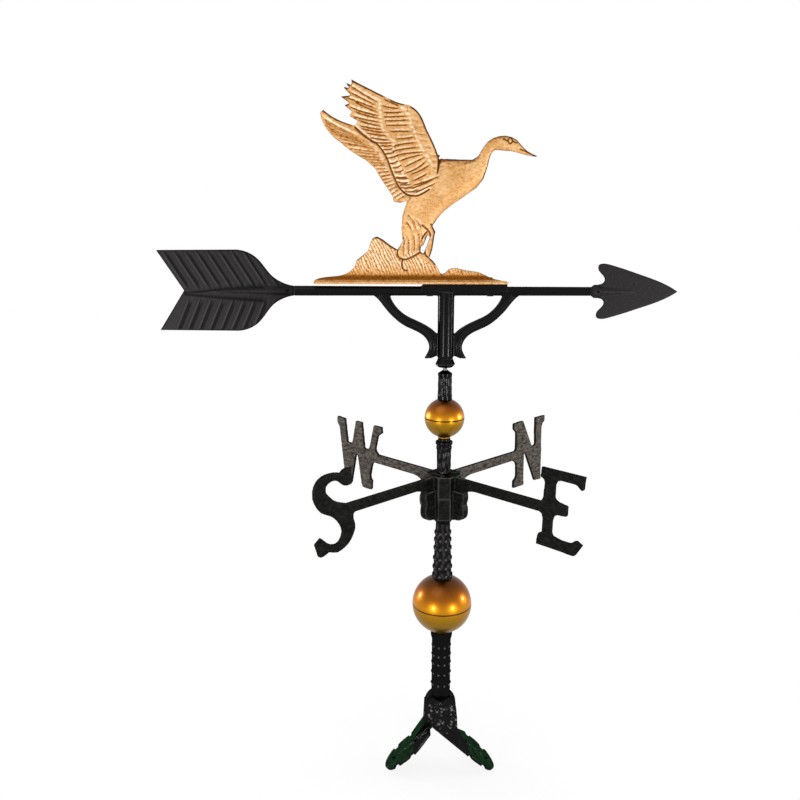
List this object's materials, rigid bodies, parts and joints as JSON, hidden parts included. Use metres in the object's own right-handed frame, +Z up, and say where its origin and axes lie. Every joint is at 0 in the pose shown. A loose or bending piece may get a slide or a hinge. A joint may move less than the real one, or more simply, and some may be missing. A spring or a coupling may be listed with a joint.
{
  "type": "duck weathervane",
  "caption": "Roof weathervane: a duck taking off over a wind arrow that turns on a mast with globes, a cross of compass letters and hinged leaf feet for a roof ridge.",
  "frame": {"origin": "the roof ridge under the mast, where the planes of the two soles meet on the mast's axis", "axes": "+Z up along the mast, +X where the arrow points at rest, Y along the roof's ridge"},
  "size_m": [0.566, 0.2749, 0.8036],
  "materials": {
    "black_coat": "cast aluminium with a satin black powder coat over its hammered skin",
    "gold_coat": "cast aluminium with a satin light-gold coat, browner in the hollows",
    "amber_globe": "amber anodised, polished",
    "green_coat": "cast aluminium with a dark-green coat, black round the rim and the knuckle",
    "steel": "zinc plated",
    "bronze": "oiled bronze"
  },
  "bodies": {
    "mast": {"mast_rod": "steel", "base_spire": "black_coat", "pivot_bolt": "steel", "large_globe_lower": "amber_globe", "large_globe_upper": "amber_globe", "middle_spire": "black_coat", "directional_ns": "black_coat", "directional_ew": "black_coat", "upper_spire": "black_coat", "small_globe_lower": "amber_globe", "small_globe_upper": "amber_globe", "top_spire": "black_coat", "spindle_cap": "black_coat"},
    "left_foot": {"left_foot": "green_coat"},
    "right_foot": {"right_foot": "green_coat"},
    "vane": {"arrow_center": "black_coat", "arrow_tail": "black_coat", "arrow_head": "black_coat", "arrow_pins": "steel", "duck_ornament": "gold_coat", "ornament_screws": "steel", "thrust_ball": "steel", "sleeve_bush": "bronze"}
  },
  "joints": [
    {"name": "vane_spin", "type": "hinge", "parent": "mast", "child": "vane", "pos_m": [0, 0, 0], "axis": [0, 0, 1], "continuous": true},
    {"name": "right_foot_pivot", "type": "hinge", "parent": "mast", "child": "right_foot", "pos_m": [0, 0, 0.02341], "axis": [0, 1, 0], "range_deg": [-42, 18]},
    {"name": "left_foot_pivot", "type": "hinge", "parent": "mast", "child": "left_foot", "pos_m": [0, 0, 0.02341], "axis": [0, 1, 0], "range_deg": [-18, 42]}
  ]
}
